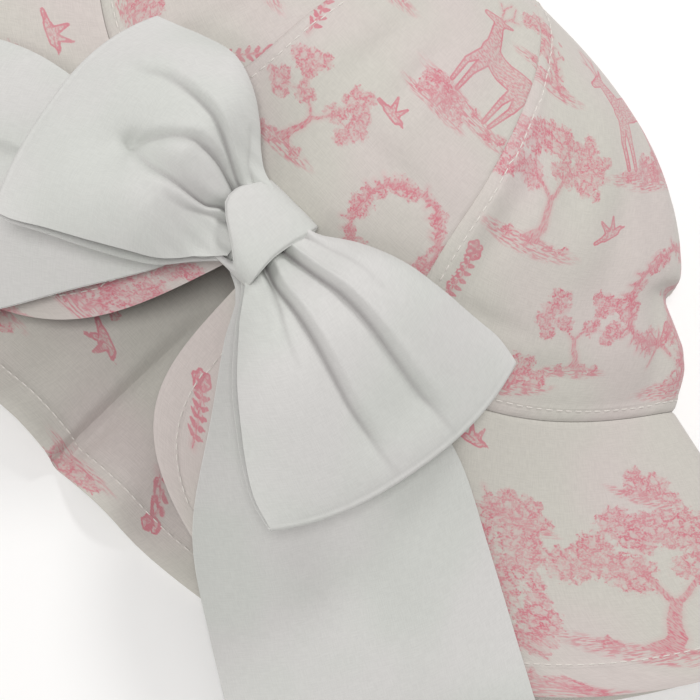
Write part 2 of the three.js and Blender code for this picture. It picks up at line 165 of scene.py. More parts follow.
def make_mesh(name, verts, quads, attributes, material, slot):
    """verts in millimetres. attributes: name to array of floats or vectors, one a vertex."""
    verts[:, 2] = np.maximum(verts[:, 2], TABLE_GAP)
    mesh = bpy.data.meshes.new(name)
    mesh.vertices.add(len(verts))
    mesh.vertices.foreach_set("co", (verts * MM).astype(np.float32).ravel())
    quads = quads.astype(np.int32)
    mesh.loops.add(quads.size)
    mesh.loops.foreach_set("vertex_index", quads.ravel())
    mesh.polygons.add(len(quads))
    mesh.polygons.foreach_set("loop_start", np.arange(0, quads.size, 4, dtype=np.int32))
    mesh.polygons.foreach_set("use_smooth", np.ones(len(quads), bool))
    mesh.update(calc_edges=True)
    for key, values in attributes.items():
        vector = values.ndim == 2
        layer = mesh.attributes.new(key, "FLOAT_VECTOR" if vector else "FLOAT", "POINT")
        layer.data.foreach_set("vector" if vector else "value", values.astype(np.float32).ravel())
    mesh.materials.append(material)
    obj = bpy.data.objects.new(name, mesh)
    bpy.context.scene.collection.objects.link(obj)
    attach(obj, "root")
    return obj


def shell(outer, normals, thickness, fields, coarse, flip=False, sink=0.0):
    """Vertices, faces and fields of a wall: a dense outer face, rounded rims, and a coarser inner face,
    which sinks further in where the outer face is creased."""
    rows, cols = outer.shape[:2]
    inner = outer - normals * np.broadcast_to(thickness + sink, (rows, cols))[..., None]
    ri = np.unique(np.r_[np.arange(0, rows, coarse), rows - 1])
    ci = np.unique(np.r_[np.arange(0, cols, coarse), cols - 1])
    verts = [outer.reshape(-1, 3), inner[np.ix_(ri, ci)].reshape(-1, 3)]
    faces = [grid_faces(rows, cols, 0, flip), grid_faces(len(ri), len(ci), rows * cols, not flip)]
    picks = [np.arange(rows * cols), (ri[:, None] * cols + ci[None, :]).ravel()]
    start = rows * cols + len(ri) * len(ci)
    loop = np.r_[
        np.arange(cols), np.arange(1, rows) * cols + cols - 1,
        (rows - 1) * cols + np.arange(cols - 2, -1, -1), np.arange(rows - 2, 0, -1) * cols,
    ]
    n = len(loop)
    flat_outer, flat_inner = outer.reshape(-1, 3), inner.reshape(-1, 3)
    out = np.cross(flat_outer[np.roll(loop, -1)] - flat_outer[np.roll(loop, 1)], normals.reshape(-1, 3)[loop])
    out /= np.maximum(np.linalg.norm(out, axis=1, keepdims=True), 1e-9)
    out *= -1 if flip else 1
    steps = 4
    for k in range(steps + 1):
        a = math.pi * k / steps
        f = (1 - math.cos(a)) / 2
        verts.append(lerp(flat_outer[loop], flat_inner[loop], f) + out * (thickness * 0.35 * math.sin(a)))
        picks.append(loop)
    for k in range(steps):
        a = start + k * n + np.arange(n)
        b = start + k * n + (np.arange(n) + 1) % n
        quad = np.stack([a, a + n, b + n, b], -1)
        faces.append(quad[:, ::-1] if flip else quad)
    pick = np.concatenate(picks)
    data = {key: values.reshape(rows * cols, -1)[pick].squeeze() for key, values in fields.items()}
    return np.concatenate(verts), np.concatenate(faces), data


def grid_normals(grid):
    n = np.cross(np.gradient(grid, axis=1), np.gradient(grid, axis=0))
    return n / np.maximum(np.linalg.norm(n, axis=-1, keepdims=True), 1e-9)

# The print
# The print is worked out in cloth coordinates (millimetres along and up the cloth) as four fields a vertex:
# wood (distance to trunks and stems), figure (distance to animals, birds and petals), leaf and ground (densities).
def tree(rng, height, spread, lean=0.0, leafy=1.0):
    caps, blobs, tips = [], [], []

    def branch(x, y, angle, length, r, depth):
        for _ in range(3):
            a = angle + rng.normal(0, 0.2)
            x2, y2 = x + math.sin(a) * length / 3, y + math.cos(a) * length / 3
            caps.append((x, y, x2, y2, r, r * 0.86))
            x, y, angle, r = x2, y2, a, r * 0.86
        if depth < 3:
            tips.append((x, y))
        if depth == 0:
            return
        for s in (-1, 1) if rng.random() < 0.6 else (-1, 0.1, 1):
            turn = angle + s * rng.uniform(0.35, 0.8) * spread
            branch(x, y, turn, length * rng.uniform(0.62, 0.8), r * 0.72, depth - 1)

    branch(0, 0, lean, height * 0.36, height * 0.042, 3)
    for x, y in tips:
        for _ in range(3):
            a, d = rng.uniform(0, 6.28), rng.uniform(0, height * 0.1)
            size = height * rng.uniform(0.05, 0.1) * leafy
            blobs.append((x + math.cos(a) * d * 1.2, y + math.sin(a) * d * 0.7, size, rng.uniform(0.7, 1.0)))
    for s in (-1, -0.4, 0.5, 1):
        caps.append((0, 1.6, s * height * 0.1, -0.9, height * 0.03, height * 0.008))
    for _ in range(8):
        x = rng.uniform(-height * 0.34, height * 0.34)
        blobs.append((x, -1.0 + rng.uniform(-1, 1.0), rng.uniform(0.8, 2.0), 0.8))
    return caps, blobs, [(0, -2.2, height * 0.4, height * 0.075)], []


def grove(rng, width, height):
    """A tall bank of leaves and blossom, with stems showing in its gaps."""
    caps, blobs = [], []
    for _ in range(64):
        y = rng.uniform(0, 1)
        reach = width / 2 * (0.55 + 0.45 * math.sin(math.pi * y) + 0.2 * math.sin(9 * y + 1))
        x = rng.uniform(-1, 1) * reach + math.sin(3.4 * y) * width * 0.18
        blobs.append((x, y * height, rng.uniform(1.9, 3.8), rng.uniform(0.55, 1.0)))
    x, y = -width * 0.1, -1.0
    for k in range(9):
        x2, y2 = x + rng.normal(0.25, 0.9), y + height / 9
        caps.append((x, y, x2, y2, 0.75 - 0.06 * k, 0.7 - 0.06 * k))
        for s in (-1, 1):
            caps.append((x2, y2, x2 + s * rng.uniform(3, 6), y2 + rng.uniform(1, 5), 0.4, 0.18))
        x, y = x2, y2
    for _ in range(16):
        x, y = rng.uniform(-width * 0.7, width * 0.7), rng.uniform(-3, height + 3)
        blobs.append((x, y, rng.uniform(0.9, 1.6), 0.8))
    return caps, blobs, [(0, -1.5, width * 0.75, 3.0)], []


def bush(rng, size):
    caps, blobs = [], []
    for _ in range(30):
        x, y = rng.normal(0, size * 0.33), abs(rng.normal(0, size * 0.24))
        blobs.append((x, y, size * rng.uniform(0.07, 0.16), rng.uniform(0.7, 1.0)))
    for s in (-0.8, -0.2, 0.5):
        caps.append((s * 2, -1, s * size * 0.3, size * 0.4, size * 0.03, size * 0.012))
    return caps, blobs, [(0, -1, size * 0.7, size * 0.12)], []


def deer(rng, head_up=True):
    figs = [
        (-6, 15, 0, 14.6, 3.5, 3.3), (0, 14.6, 5.5, 15.4, 3.3, 3.2), (-7.2, 15.5, -8.6, 13.2, 1.0, 0.6),
        (-6.8, 13.5, -7.6, 8, 1.9, 0.9), (-7.6, 8, -6.8, 0.4, 0.8, 0.5), (-4.8, 12.5, -4.4, 7.5, 1.4, 0.8),
        (-4.4, 7.5, -5.0, 0.2, 0.75, 0.5), (5.2, 13, 5.4, 7, 1.6, 0.8), (5.4, 7, 4.8, 0.3, 0.75, 0.5),
        (6.6, 13.5, 8.2, 7.6, 1.5, 0.75), (8.2, 7.6, 7.2, 0.8, 0.7, 0.5),
    ]
    if head_up:
        figs += [(6, 16.5, 9.6, 23.6, 2.4, 1.4), (9.6, 24.2, 13.4, 23.0, 1.6, 0.8), (8.6, 25, 6.6, 26.8, 0.7, 0.3)]
        caps = [
            (9.4, 25.4, 8.4, 29.6, 0.34, 0.28), (8.4, 29.6, 9.8, 33, 0.3, 0.2), (8.7, 28, 6.6, 30.4, 0.28, 0.2),
            (10, 25.4, 11.4, 29.2, 0.34, 0.28), (11.4, 29.2, 11, 32.6, 0.28, 0.2), (10.9, 27.8, 13, 29.6, 0.28, 0.2),
        ]
    else:
        figs += [(6.4, 15.6, 11.4, 10.2, 2.3, 1.3), (11.6, 9.6, 13.6, 6.0, 1.5, 0.8), (10.6, 11.4, 8.8, 12.4, 0.7, 0.3)]
        caps = []
    blobs = [(rng.uniform(-11, 12), rng.uniform(-1.6, 0.2), rng.uniform(0.8, 1.7), 0.9) for _ in range(9)]
    return caps, blobs, [(0, -1.4, 13.5, 2.0)], figs


def bird():
    figs = [
        (-2.6, 0, 2.2, 0.5, 1.2, 1.1), (2.6, 1.0, 3.6, 1.3, 0.9, 0.7), (4.2, 1.2, 5.4, 1.0, 0.3, 0.15),
        (-0.6, 0.6, -3.6, 5.4, 1.3, 0.3), (0.6, 0.6, 1.4, 5.8, 1.2, 0.25), (-3, 0, -6.2, -0.8, 0.8, 0.6),
    ]
    return [], [], [], figs


def sprig(size):
    caps, figs = [], []
    x, y, a = 0.0, 0.0, 0.25
    for _ in range(7):
        x2, y2 = x + math.sin(a) * size / 7, y + math.cos(a) * size / 7
        caps.append((x, y, x2, y2, 0.42, 0.36))
        for s in (-1, 1):
            lx, ly = x2 + math.sin(a + s) * size * 0.16, y2 + math.cos(a + s) * size * 0.16
            figs.append((lerp(x2, lx, 0.35), lerp(y2, ly, 0.35), lx, ly, size * 0.035, size * 0.012))
        x, y, a = x2, y2, a - 0.09
    for k in range(6):
        t = k * 1.047
        c, s = math.cos(t), math.sin(t)
        figs.append((x + c * 0.6, y + s * 0.6, x + c * 2.0, y + s * 2.0, 0.5, 0.9))
    return caps, [], [], figs


def wreath(rng, radius):
    """A loose garland, tied at the foot, with blossom between the leaves."""
    caps, blobs, figs = [], [], []
    n = 34
    for k in range(n):
        t, t2 = 6.283 * k / n, 6.283 * (k + 1) / n
        r1, r2 = (radius * (1 + 0.035 * math.sin(5 * a)) for a in (t, t2))
        x, y = math.sin(t) * r1, -math.cos(t) * r1
        caps.append((x, y, math.sin(t2) * r2, -math.cos(t2) * r2, 0.45, 0.45))
        for s in (-1, 1):
            if rng.random() < 0.7:
                a = t + (0.5 if t < 3.14 else -0.5) + s * rng.uniform(0.5, 1.1) + 1.57
                long = rng.uniform(1.8, 3.0)
                caps.append((x, y, x + math.sin(a) * long, y - math.cos(a) * long, 0.55, 0.15))
            x3, y3 = x + rng.normal(0, 0.7), y + rng.normal(0, 0.7)
            blobs.append((x3, y3, rng.uniform(0.9, 1.7), rng.uniform(0.6, 1.0)))
        if k % 6 == 2:
            blobs.append((x, y, rng.uniform(2.2, 3.2), 1.0))
    for s in (-1, 1):
        caps.append((0, -radius, s * radius * 0.34, -radius * 1.42, 0.55, 0.3))
        figs.append((s * 1.2, -radius, s * radius * 0.34, -radius * 0.84, 0.6, 1.5))
    return caps, blobs, [], figs


MOTIFS = {
    "oak": tree(np.random.default_rng(3), 34, 1.0, 0.05, 1.1),
    "ash": tree(np.random.default_rng(11), 46, 0.7, -0.12, 1.0),
    "thorn": tree(np.random.default_rng(21), 25, 1.2, 0.2, 1.0),
    "grove": grove(np.random.default_rng(15), 17, 42),
    "bank": grove(np.random.default_rng(16), 24, 26),
    "bush": bush(np.random.default_rng(5), 17),
    "stag": deer(np.random.default_rng(6), True),
    "doe": deer(np.random.default_rng(7), False),
    "bird": bird(),
    "sprig": sprig(17),
    "wreath": wreath(np.random.default_rng(10), 11),
}


def capsule_distance(u, v, x0, y0, x1, y1, r0, r1):
    dx, dy = x1 - x0, y1 - y0
    t = np.clip(((u - x0) * dx + (v - y0) * dy) / max(dx * dx + dy * dy, 1e-9), 0, 1)
    return np.hypot(u - x0 - t * dx, v - y0 - t * dy) - lerp(r0, r1, t)


def print_fields(u, v, placed):
    """u, v: cloth coordinates. placed: rows of motif, u, v, size, turn in degrees, mirrored."""
    far = 3.0  # where no motif is near
    shape = u.shape
    u, v = u.ravel(), v.ravel()
    wood, figure = np.full(u.size, far), np.full(u.size, far)
    leaf, ground = np.zeros(u.size), np.zeros(u.size)
    for name, cu, cv, size, turn, mirror in placed:
        caps, blobs, mounds, figs = MOTIFS[name]
        pick = np.nonzero(np.hypot(u - cu, v - cv) < 60 * size)[0]
        if not len(pick):
            continue
        a = math.radians(turn)
        du, dv = (u[pick] - cu) / size, (v[pick] - cv) / size
        x, y = du * math.cos(a) + dv * math.sin(a), -du * math.sin(a) + dv * math.cos(a)
        x = -x if mirror else x
        for rows, target in ((caps, wood), (figs, figure)):
            for row in rows:
                near = np.abs(x - (row[0] + row[2]) / 2) + np.abs(y - (row[1] + row[3]) / 2) < 14
                k = pick[near]
                target[k] = np.minimum(target[k], size * capsule_distance(x[near], y[near], *row))
        for bx, by, r, density in blobs:
            near = (np.abs(x - bx) < 2 * r) & (np.abs(y - by) < 2 * r)
            k = pick[near]
            leaf[k] = np.maximum(leaf[k], density * np.clip(1.5 - np.hypot(x[near] - bx, y[near] - by) / r, 0, 1))
        for bx, by, rx, ry in mounds:
            d = np.hypot((x - bx) / rx, (y - by) / ry)
            ground[pick] = np.maximum(ground[pick], np.clip(1.4 - d, 0, 1))
    out = {"wood": wood, "figure": figure, "leaf": leaf, "ground": ground}
    return {key: value.reshape(shape) for key, value in out.items()}


# Materials
class Nodes:
    """A short way to write shader nodes. Most calls give the new node's output."""

    def __init__(self, name):
        self.material = bpy.data.materials.new(name)
        self.material.use_nodes = True
        self.tree = self.material.node_tree
        self.shader = self.tree.nodes["Principled BSDF"]

    def put(self, inputs, values):
        for key, value in values.items():
            if isinstance(value, bpy.types.NodeSocket):
                self.tree.links.new(value, inputs[key])
            else:
                inputs[key].default_value = value

    def finish(self, values):
        """Sets the shader's inputs and gives the material."""
        self.put(self.shader.inputs, values)
        return self.material

    def cotton(self, colour, normal, roughness, sheen):
        return self.finish({
            "Base Color": colour, "Normal": normal, "Roughness": roughness,
            "Sheen Weight": sheen, "Sheen Roughness": 0.5, "Specular IOR Level": 0.25,
        })

    def node(self, kind, inputs=None, output=0, **settings):
        n = self.tree.nodes.new(kind)
        for key, value in settings.items():
            setattr(n, key, value)
        self.put(n.inputs, inputs or {})
        return n.outputs[output]

    def attribute(self, name):
        return self.node("ShaderNodeAttribute", output="Fac", attribute_name=name)

    def cloth(self):
        """Place on the cloth, in millimetres along and up it."""
        return self.node("ShaderNodeAttribute", output="Vector", attribute_name="cloth")

    def math(self, operation, a, b=0.0):
        return self.node("ShaderNodeMath", {0: a, 1: b}, operation=operation)

    def plus(self, a, b):
        return self.math("ADD", a, b)

    def times(self, a, b):
        return self.math("MULTIPLY", a, b)

    def most(self, first, *others):
        for other in others:
            first = self.math("MAXIMUM", first, other)
        return first

    def step(self, value, low, high, to_low=0.0, to_high=1.0):
        inputs = {"Value": value, "From Min": low, "From Max": high, "To Min": to_low, "To Max": to_high}
        return self.node("ShaderNodeMapRange", inputs, interpolation_type="SMOOTHSTEP")

    def scaled(self, vector, *scale):
        return self.node("ShaderNodeVectorMath", {0: vector, 1: scale}, operation="MULTIPLY")

    def noise(self, vector, scale, detail=2.0, rough=0.5, output="Fac"):
        inputs = {"Vector": vector, "Scale": scale, "Detail": detail, "Roughness": rough}
        return self.node("ShaderNodeTexNoise", inputs, output)

    def streaks(self, cloth, along, up, detail, rough=0.5):
        return self.noise(self.scaled(cloth, along, up, 1.0), 1.0, detail, rough)

    def mix(self, factor, a, b, blend="MIX"):
        """Of two colours, which are inputs 6 and 7 and output 2 of a mix node."""
        return self.node("ShaderNodeMix", {0: factor, 6: a, 7: b}, 2, data_type="RGBA", blend_type=blend)

    def weave(self, cloth):
        """Threads about 0.3 mm apart, a little uneven."""
        return self.plus(self.streaks(cloth, 3.4, 0.35, 1.0), self.streaks(cloth, 0.35, 3.4, 1.0))

    def bump(self, height, distance, strength, normal=None):
        inputs = {"Height": height, "Distance": distance, "Strength": strength}
        if normal is not None:
            inputs["Normal"] = normal
        return self.node("ShaderNodeBump", inputs)


def grey(tone):
    return (tone, tone, tone, 1)


def printed_cotton():
    n = Nodes("printed_cotton")
    cloth = n.cloth()
    weave = n.weave(cloth)
    fine = n.noise(cloth, 1.9, 3.0, 0.6)
    shift = n.noise(cloth, 0.5, output="Color")
    wavy = n.node("ShaderNodeVectorMath", {0: cloth, 1: n.scaled(shift, 2.4, 2.4, 0.0)}, operation="ADD")

    def cells(scale, feature):
        return n.node("ShaderNodeTexVoronoi", {"Vector": wavy, "Scale": scale}, "Distance", feature=feature)

    def ragged(name, noise, amount):
        return n.plus(n.attribute(name), n.times(n.math("SUBTRACT", noise, 0.5), amount))

    # foliage: clumps made of rounded leaves, each with a dark rim and a light middle
    leaf = ragged("leaf", n.noise(cloth, 0.7, 3.0, 0.65), 1.5)
    rims = n.step(cells(0.34, "DISTANCE_TO_EDGE"), 0.16, 0.02)
    lobes = n.step(cells(0.62, "F1"), 0.28, 0.62)
    leaves = n.plus(n.plus(n.times(rims, 0.6), n.times(lobes, 0.5)), n.step(leaf, 0.5, 1.1, 0.12, 0.34))
    leaves = n.times(leaves, n.step(fine, 0.38, 0.6, 0.3, 1.0))
    foliage = n.times(n.step(leaf, 0.36, 0.54), n.math("MINIMUM", leaves, 0.95))
    # trunks: a ragged edge, and hatching along them
    hatch = n.streaks(cloth, 2.6, 0.7, 1.0)
    trunk = n.times(n.step(ragged("wood", fine, 0.7), 0.16, -0.12), n.step(hatch, 0.35, 0.6, 0.95, 0.45))
    # figures: an outline, and hatching inside
    figure = ragged("figure", fine, 0.4)
    line = n.step(n.math("ABSOLUTE", n.plus(figure, 0.12)), 0.36, 0.14, 0.0, 0.9)
    strokes = n.streaks(cloth, 1.0, 1.7, 3.0, 0.6)
    shading = n.times(n.step(figure, 0.0, -0.2), n.step(strokes, 0.42, 0.6, 0.2, 0.78))
    # ground: level strokes of grass
    level = n.streaks(cloth, 0.42, 2.0, 2.0)
    ground = n.times(n.step(n.attribute("ground"), 0.05, 0.6), n.step(level, 0.44, 0.6, 0.08, 0.8))
    # the ink is uneven, thinner between the threads, with a pale wash round leaves and wood
    ink = n.times(n.most(foliage, trunk, line, shading, ground), n.step(n.noise(cloth, 0.13, 2.0), 0.3, 0.7, 0.74, 1.0))
    ink = n.times(ink, n.step(weave, 0.7, 1.3, 0.8, 1.0))
    wash = n.most(n.step(leaf, 0.2, 0.8), n.step(n.attribute("wood"), 1.4, -0.4))
    ink = n.most(ink, n.times(wash, 0.17))
    # the cloth under it: cream with a faint rose show-through
    cream, rosy, pink = (0.60, 0.582, 0.535, 1), (0.63, 0.572, 0.55, 1), (0.59, 0.15, 0.205, 1)
    ground_tone = n.mix(n.step(n.noise(cloth, 0.022, 1.0), 0.4, 0.62), cream, rosy)
    threads = n.mix(n.step(weave, 0.75, 1.25), grey(0.93), grey(1))
    colour = n.mix(ink, n.mix(1.0, ground_tone, threads, "MULTIPLY"), pink)
    # a groove pulled by the thread on the stitch lines, and the weave
    pull = n.step(n.math("ABSOLUTE", n.attribute("stitch")), 0.9, 0.1, 1.0, 0.0)
    return n.cotton(colour, n.bump(weave, 0.00006, 0.8, n.bump(pull, 0.00016, 0.7)), 0.82, 0.12)


def white_cotton():
    n = Nodes("white_cotton")
    cloth = n.cloth()
    weave = n.weave(cloth)
    slub = n.streaks(cloth, 0.25, 2.4, 2.0)
    tone = n.mix(n.step(n.noise(cloth, 0.03, 2.0), 0.35, 0.65), (0.625, 0.64, 0.615, 1), (0.66, 0.655, 0.645, 1))
    # painted shade: the cloth's colour is darkened towards the bottom of each fold, where little light gets
    shaded_tone = n.mix(n.attribute("crease_shade"), tone, (0.30, 0.285, 0.285, 1))
    threads = n.mix(n.step(n.plus(weave, n.times(slub, 0.3)), 0.85, 1.45), grey(0.94), grey(1))
    return n.cotton(n.mix(1.0, shaded_tone, threads, "MULTIPLY"), n.bump(weave, 0.00005, 0.8), 0.75, 0.1)


def thread():
    n = Nodes("thread")
    twist = n.noise(n.node("ShaderNodeTexCoord", output="Object"), 2600.0, 1.0)
    colour = n.mix(twist, (0.66, 0.62, 0.58, 1), (0.82, 0.79, 0.75, 1))
    return n.cotton(colour, n.bump(twist, 0.0001, 0.6), 0.6, 0.1)


PRINT, WHITE, THREAD = printed_cotton(), white_cotton(), thread()


# Crown
CROWN_STITCH = 3.1  # from the seam to its line of stitches
STITCHES = []  # rows of points, and their normals


def ripple(s, seed, pitch=5.0):
    """An uneven wave along a seam, from -1 to 1."""
    rng = np.random.default_rng(seed)
    out = np.zeros_like(s)
    for _ in range(5):
        out += np.sin(2 * math.pi * s / (pitch * rng.uniform(0.7, 1.9)) + rng.uniform(0, 6.28))
    return out / 5


def arc(grid, axis):
    steps = np.linalg.norm(np.diff(grid, axis=axis), axis=-1)
    pad = [(0, 0), (0, 0)]
    pad[axis] = (1, 0)
    return np.pad(np.cumsum(steps, axis=axis), pad)


def cloth_places(grid, u0=0, v0=0):
    """Millimetres along and up the cloth, from its middle line and its first row."""
    around, up = arc(grid, 1), arc(grid, 0)
    return np.stack([around - around[:, -1:] / 2 + u0, up + v0, 0 * up], -1)


def stitch_row(distance, values, points, normals):
    """The points at one distance from an edge, one in each row of a grid, and their normals."""
    i, j = np.arange(len(values)), np.argmin(np.abs(values - distance), axis=1)
    return points[i, j], normals[i, j]


def placements(table):
    """Rows of motif, u, v, size, turn and whether it is mirrored, which a fifth number in the table's row says."""
    return [(motif, *row[:4], len(row) > 4) for motif, rows in table.items() for row in rows]


# Soft folds: turn, along, half axes in turn and along, tilt in degrees, height in mm
CROWN_FOLDS = [
    (0.5, 0.47, 2.6, 0.1, 0, -1.1), (4.6, 0.47, 3.0, 0.12, 0, 0.7), (-8, 0.45, 3.0, 0.13, 14, -1.2),
    (-13, 0.42, 4, 0.12, 14, 0.8), (12.5, 0.66, 3.6, 0.09, -10, -1.4), (8, 0.3, 9, 0.03, 18, -0.7),
    (24.0, 0.36, 1.6, 0.22, 0, 0.7), (28.5, 0.34, 2.8, 0.2, 0, -1.6), (37.5, 0.5, 4.5, 0.13, 0, -1.3),
    (33, 0.165, 8, 0.022, 8, -0.8), (52, 0.42, 5.0, 0.2, 0, -1.8), (60, 0.2, 7, 0.1, 0, 1.2),
    (70, 0.12, 4, 0.1, 0, -1.3), (46, 0.1, 9, 0.03, -6, -0.8), (62, 0.6, 5, 0.12, 0, -1.2),
    (-29, 0.3, 3.0, 0.16, 0, -1.6), (-34, 0.3, 3.5, 0.18, 0, 1.2), (-60, 0.3, 5.0, 0.2, 0, -1.5),
    (-75, 0.2, 5, 0.12, 0, -2.5), (0, 0.75, 14, 0.06, 0, -0.7), (30, 0.72, 8, 0.05, 0, -0.7),
]


def crown_relief(turn, along):
    """How far the cloth stands out from its smooth form."""
    out = np.zeros_like(turn)
    signed = (turn + 180) % 360 - 180
    for t0, a0, wt, wa, tilt, height in CROWN_FOLDS:
        dt, da = (signed - t0) / wt, (along - a0) / wa
        c, s = math.cos(math.radians(tilt)), math.sin(math.radians(tilt))
        out += height * bell(dt * c + da * s, 1, da * c - dt * s)
    return out * smooth(0, 0.06, along)


# name, first and last turn, rows, columns
PANELS = [
    ("crown_panel_back", -BACK_SEAM, BACK_SEAM, 200, 150),
    ("crown_panel_back_right", BACK_SEAM, 90, 200, 170),
    ("crown_panel_front_right", 90, 180 - BACK_SEAM, 110, 80),
    ("crown_panel_front", 180 - BACK_SEAM, 180 + BACK_SEAM, 110, 80),
    ("crown_panel_front_left", 180 + BACK_SEAM, 270, 110, 80),
    ("crown_panel_back_left", 270, 360 - BACK_SEAM, 200, 150),
]
# two panels in turn, by motif: across from the panel's middle, up from its base, size, turn, mirrored
PANEL_PRINT = [placements({
    "thorn": [(-15, 24, 0.95, 6)],
    "stag": [(15, 64, 1.1, -6, 1)],
    "bank": [(-24, 70, 0.7, 12)],
    "bird": [(-8, 92, 1.0, 10, 1), (2, 47, 0.8, -15)],
    "wreath": [(22, 27, 1.05, 0)],
    "bush": [(0, 4, 0.9, 0), (8, 58, 0.8, 0)],
    "oak": [(25, 92, 0.75, 0)],
    "sprig": [(-28, 46, 0.9, 20)],
}), placements({
    "stag": [(12, 70, 1.15, 4, 1)],
    "oak": [(-23, 46, 0.95, 0), (52, 62, 0.9, 0)],
    "wreath": [(27, 34, 1.2, 10)],
    "bird": [(0, 52, 0.9, 20)],
    "bush": [(-14, 8, 1.0, 10), (16, 66, 0.9, 0)],
    "grove": [(-22, 88, 0.7, 0, 1)],
    "bank": [(44, 8, 0.9, 0)],
    "thorn": [(2, 16, 0.85, 0, 1)],
    "sprig": [(-40, 22, 0.9, -20)],
})]


def place_panel_print(index):
    """The panels on the left have the print of those on the right, turned round."""
    left = index > 2
    return [(m, -a if left else a, b, s, t, mirror != left) for m, a, b, s, t, mirror in PANEL_PRINT[index % 2]]


def crown_panel(index, name, start, end, rows, cols):
    tip = 1 - 0.12 / HALF_WIDTH
    along, share = grid_of(np.linspace(0.0006, tip, rows), np.linspace(0, 1, cols))
    width = arc(crown_point(lerp(start, end, share), along), 1)[:, -1:]
    inset = 0.05 / np.maximum(width, 1)
    turn = lerp(start, end, lerp(inset, 1 - inset, share))
    base, normal = hat_point(turn, along), hat_normal(turn, along)
    left, v = arc(base, 1), arc(base, 0)
    u = left - left[:, -1:] / 2
    edge = np.minimum(left, left[:, -1:] - left)
    relief = crown_relief(turn, along)
    # the cloth dips at the seams and puckers beside them
    relief += -0.28 * bell(edge, 0.4) - 0.25 * bell(v, 0.45)
    relief += 0.22 * ripple(v, index, 6) * np.exp(-edge / 3.5) * smooth(0, 3, edge)
    relief += 0.25 * ripple(u, index + 20, 6) * np.exp(-v / 4) * smooth(0, 2, v)
    # the seam allowance lies under the side that is stitched down
    for d in (left, v):
        relief += 0.2 * smooth(0.3, 0.9, d) * smooth(5.0, 3.4, d)
    grid = base + normal * relief[..., None]
    fields = print_fields(u, v, place_panel_print(index))
    fields["stitch"] = np.minimum(np.abs(left - CROWN_STITCH), np.abs(v - CROWN_STITCH))
    fields["cloth"] = cloth_places(base, 140 * index)
    wall = shell(grid, grid_normals(grid), CLOTH, fields, coarse=5)
    obj = make_mesh(name + "_cloth", *wall, PRINT, "printed_cotton")
    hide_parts(name)
    # one line of stitches goes up the panel, where it is wide enough, and one along its base
    wide = left[:, -1] > 9
    STITCHES.append(stitch_row(CROWN_STITCH, left[wide], grid[wide], normal[wide]))
    STITCHES.append(stitch_row(CROWN_STITCH, v.T, grid.swapaxes(0, 1), normal.swapaxes(0, 1)))
    return grid


CROWN_GRIDS = [crown_panel(k, *panel) for k, panel in enumerate(PANELS)]


# Brim
HEM_STITCH = 8.5  # from the hem to its line of stitches
BRIM_PRINT_LENGTH = 560.0  # the print's length round the brim
LAYER = 0.55  # each of the brim's two layers
LAYER_GAP = 0.65  # from the outside to the lining


def end_shift(side, out):
    lean, corner = ENDS[side]
    return lean * out + corner * out**5


def brim_relief(turn, out):
    """Soft waves of the brim, deeper towards the hem, and the crease in the middle of its front."""
    t = np.radians(turn)
    wave = 0.9 * np.sin(7 * t + 0.6) + 0.7 * np.sin(11 * t + 2.1) + 0.4 * np.sin(17 * t)
    back = smooth(-0.2, 0.5, np.cos(t))
    x = brim_point(turn, out)[..., 0]
    front = np.clip(-np.cos(t), 0, 1) ** 6
    lobes = 4.6 * smooth(0.6, -5.4, x) * smooth(-40, -10, x) + 4.6 * bell(x - 17, 11)
    crease = 2.2 * np.exp(-(np.sqrt((x - 1.0) ** 2 + 0.2) - 0.45) / 2.2)
    # the front lies face down, so what rises there goes against the cloth's outer side
    return wave * out**1.3 * back - front * (lobes * out**1.1 - crease * smooth(0, 0.3, out))


# by motif: degrees from the centre back, share out from the seam, size, turn, mirrored
BRIM_PRINT = placements({
    "grove": [(42, 0.95, 1.1, -14), (322, 0.93, 1.1, 10, 1), (130, 0.85, 0.9, 0), (240, 0.85, 0.9, 0)],
    "oak": [(58, 0.86, 1.25, -32), (282, 0.95, 0.95, 40)],
    "bush": [(49, 0.36, 0.75, -20), (98, 0.6, 0.9, 180), (66, 0.3, 0.8, -30), (352, 0.9, 0.9, 0)],
    "bird": [(43, 0.12, 0.8, -20), (312, 0.2, 1.0, 0), (145, 0.3, 0.9, 0), (225, 0.3, 0.9, 0)],
    "bank": [(78, 0.9, 0.9, -44), (349, 0.6, 1.0, 10)],
    "stag": [(21, 0.9, 1.0, 0), (160, 0.75, 0.9, 0)],
    "sprig": [(10, 0.7, 0.9, 10)],
    "ash": [(300, 0.95, 0.9, 20)],
    "doe": [(336, 0.75, 0.9, 0, 1)],
    "wreath": [(185, 0.5, 0.9, 0)],
    "thorn": [(210, 0.8, 0.9, 0, 1)],
})
LINING_PRINT = placements({
    "bird": [(187, 0.55, 0.9, 200), (158, 0.5, 0.8, 160)],
    "sprig": [(171, 0.75, 0.8, 150)],
    "oak": [(196, 0.2, 0.7, 180), (330, 0.7, 0.8, 0), (300, 0.6, 0.8, 0)],
    "bush": [(178, 0.95, 0.7, 180), (201, 0.75, 0.9, 180), (353, 0.85, 0.9, 0)],
    "stag": [(212, 0.2, 0.9, 180)],
    "doe": [(148, 0.2, 0.9, 180)],
    "thorn": [(222, 0.4, 0.9, 180)],
    "grove": [(240, 0.2, 0.9, 180), (130, 0.2, 0.9, 180), (45, 0.7, 0.8, 0)],
    "bank": [(350, 0.45, 0.9, 0), (16, 0.5, 0.9, 0), (70, 0.6, 0.8, 0)],
})


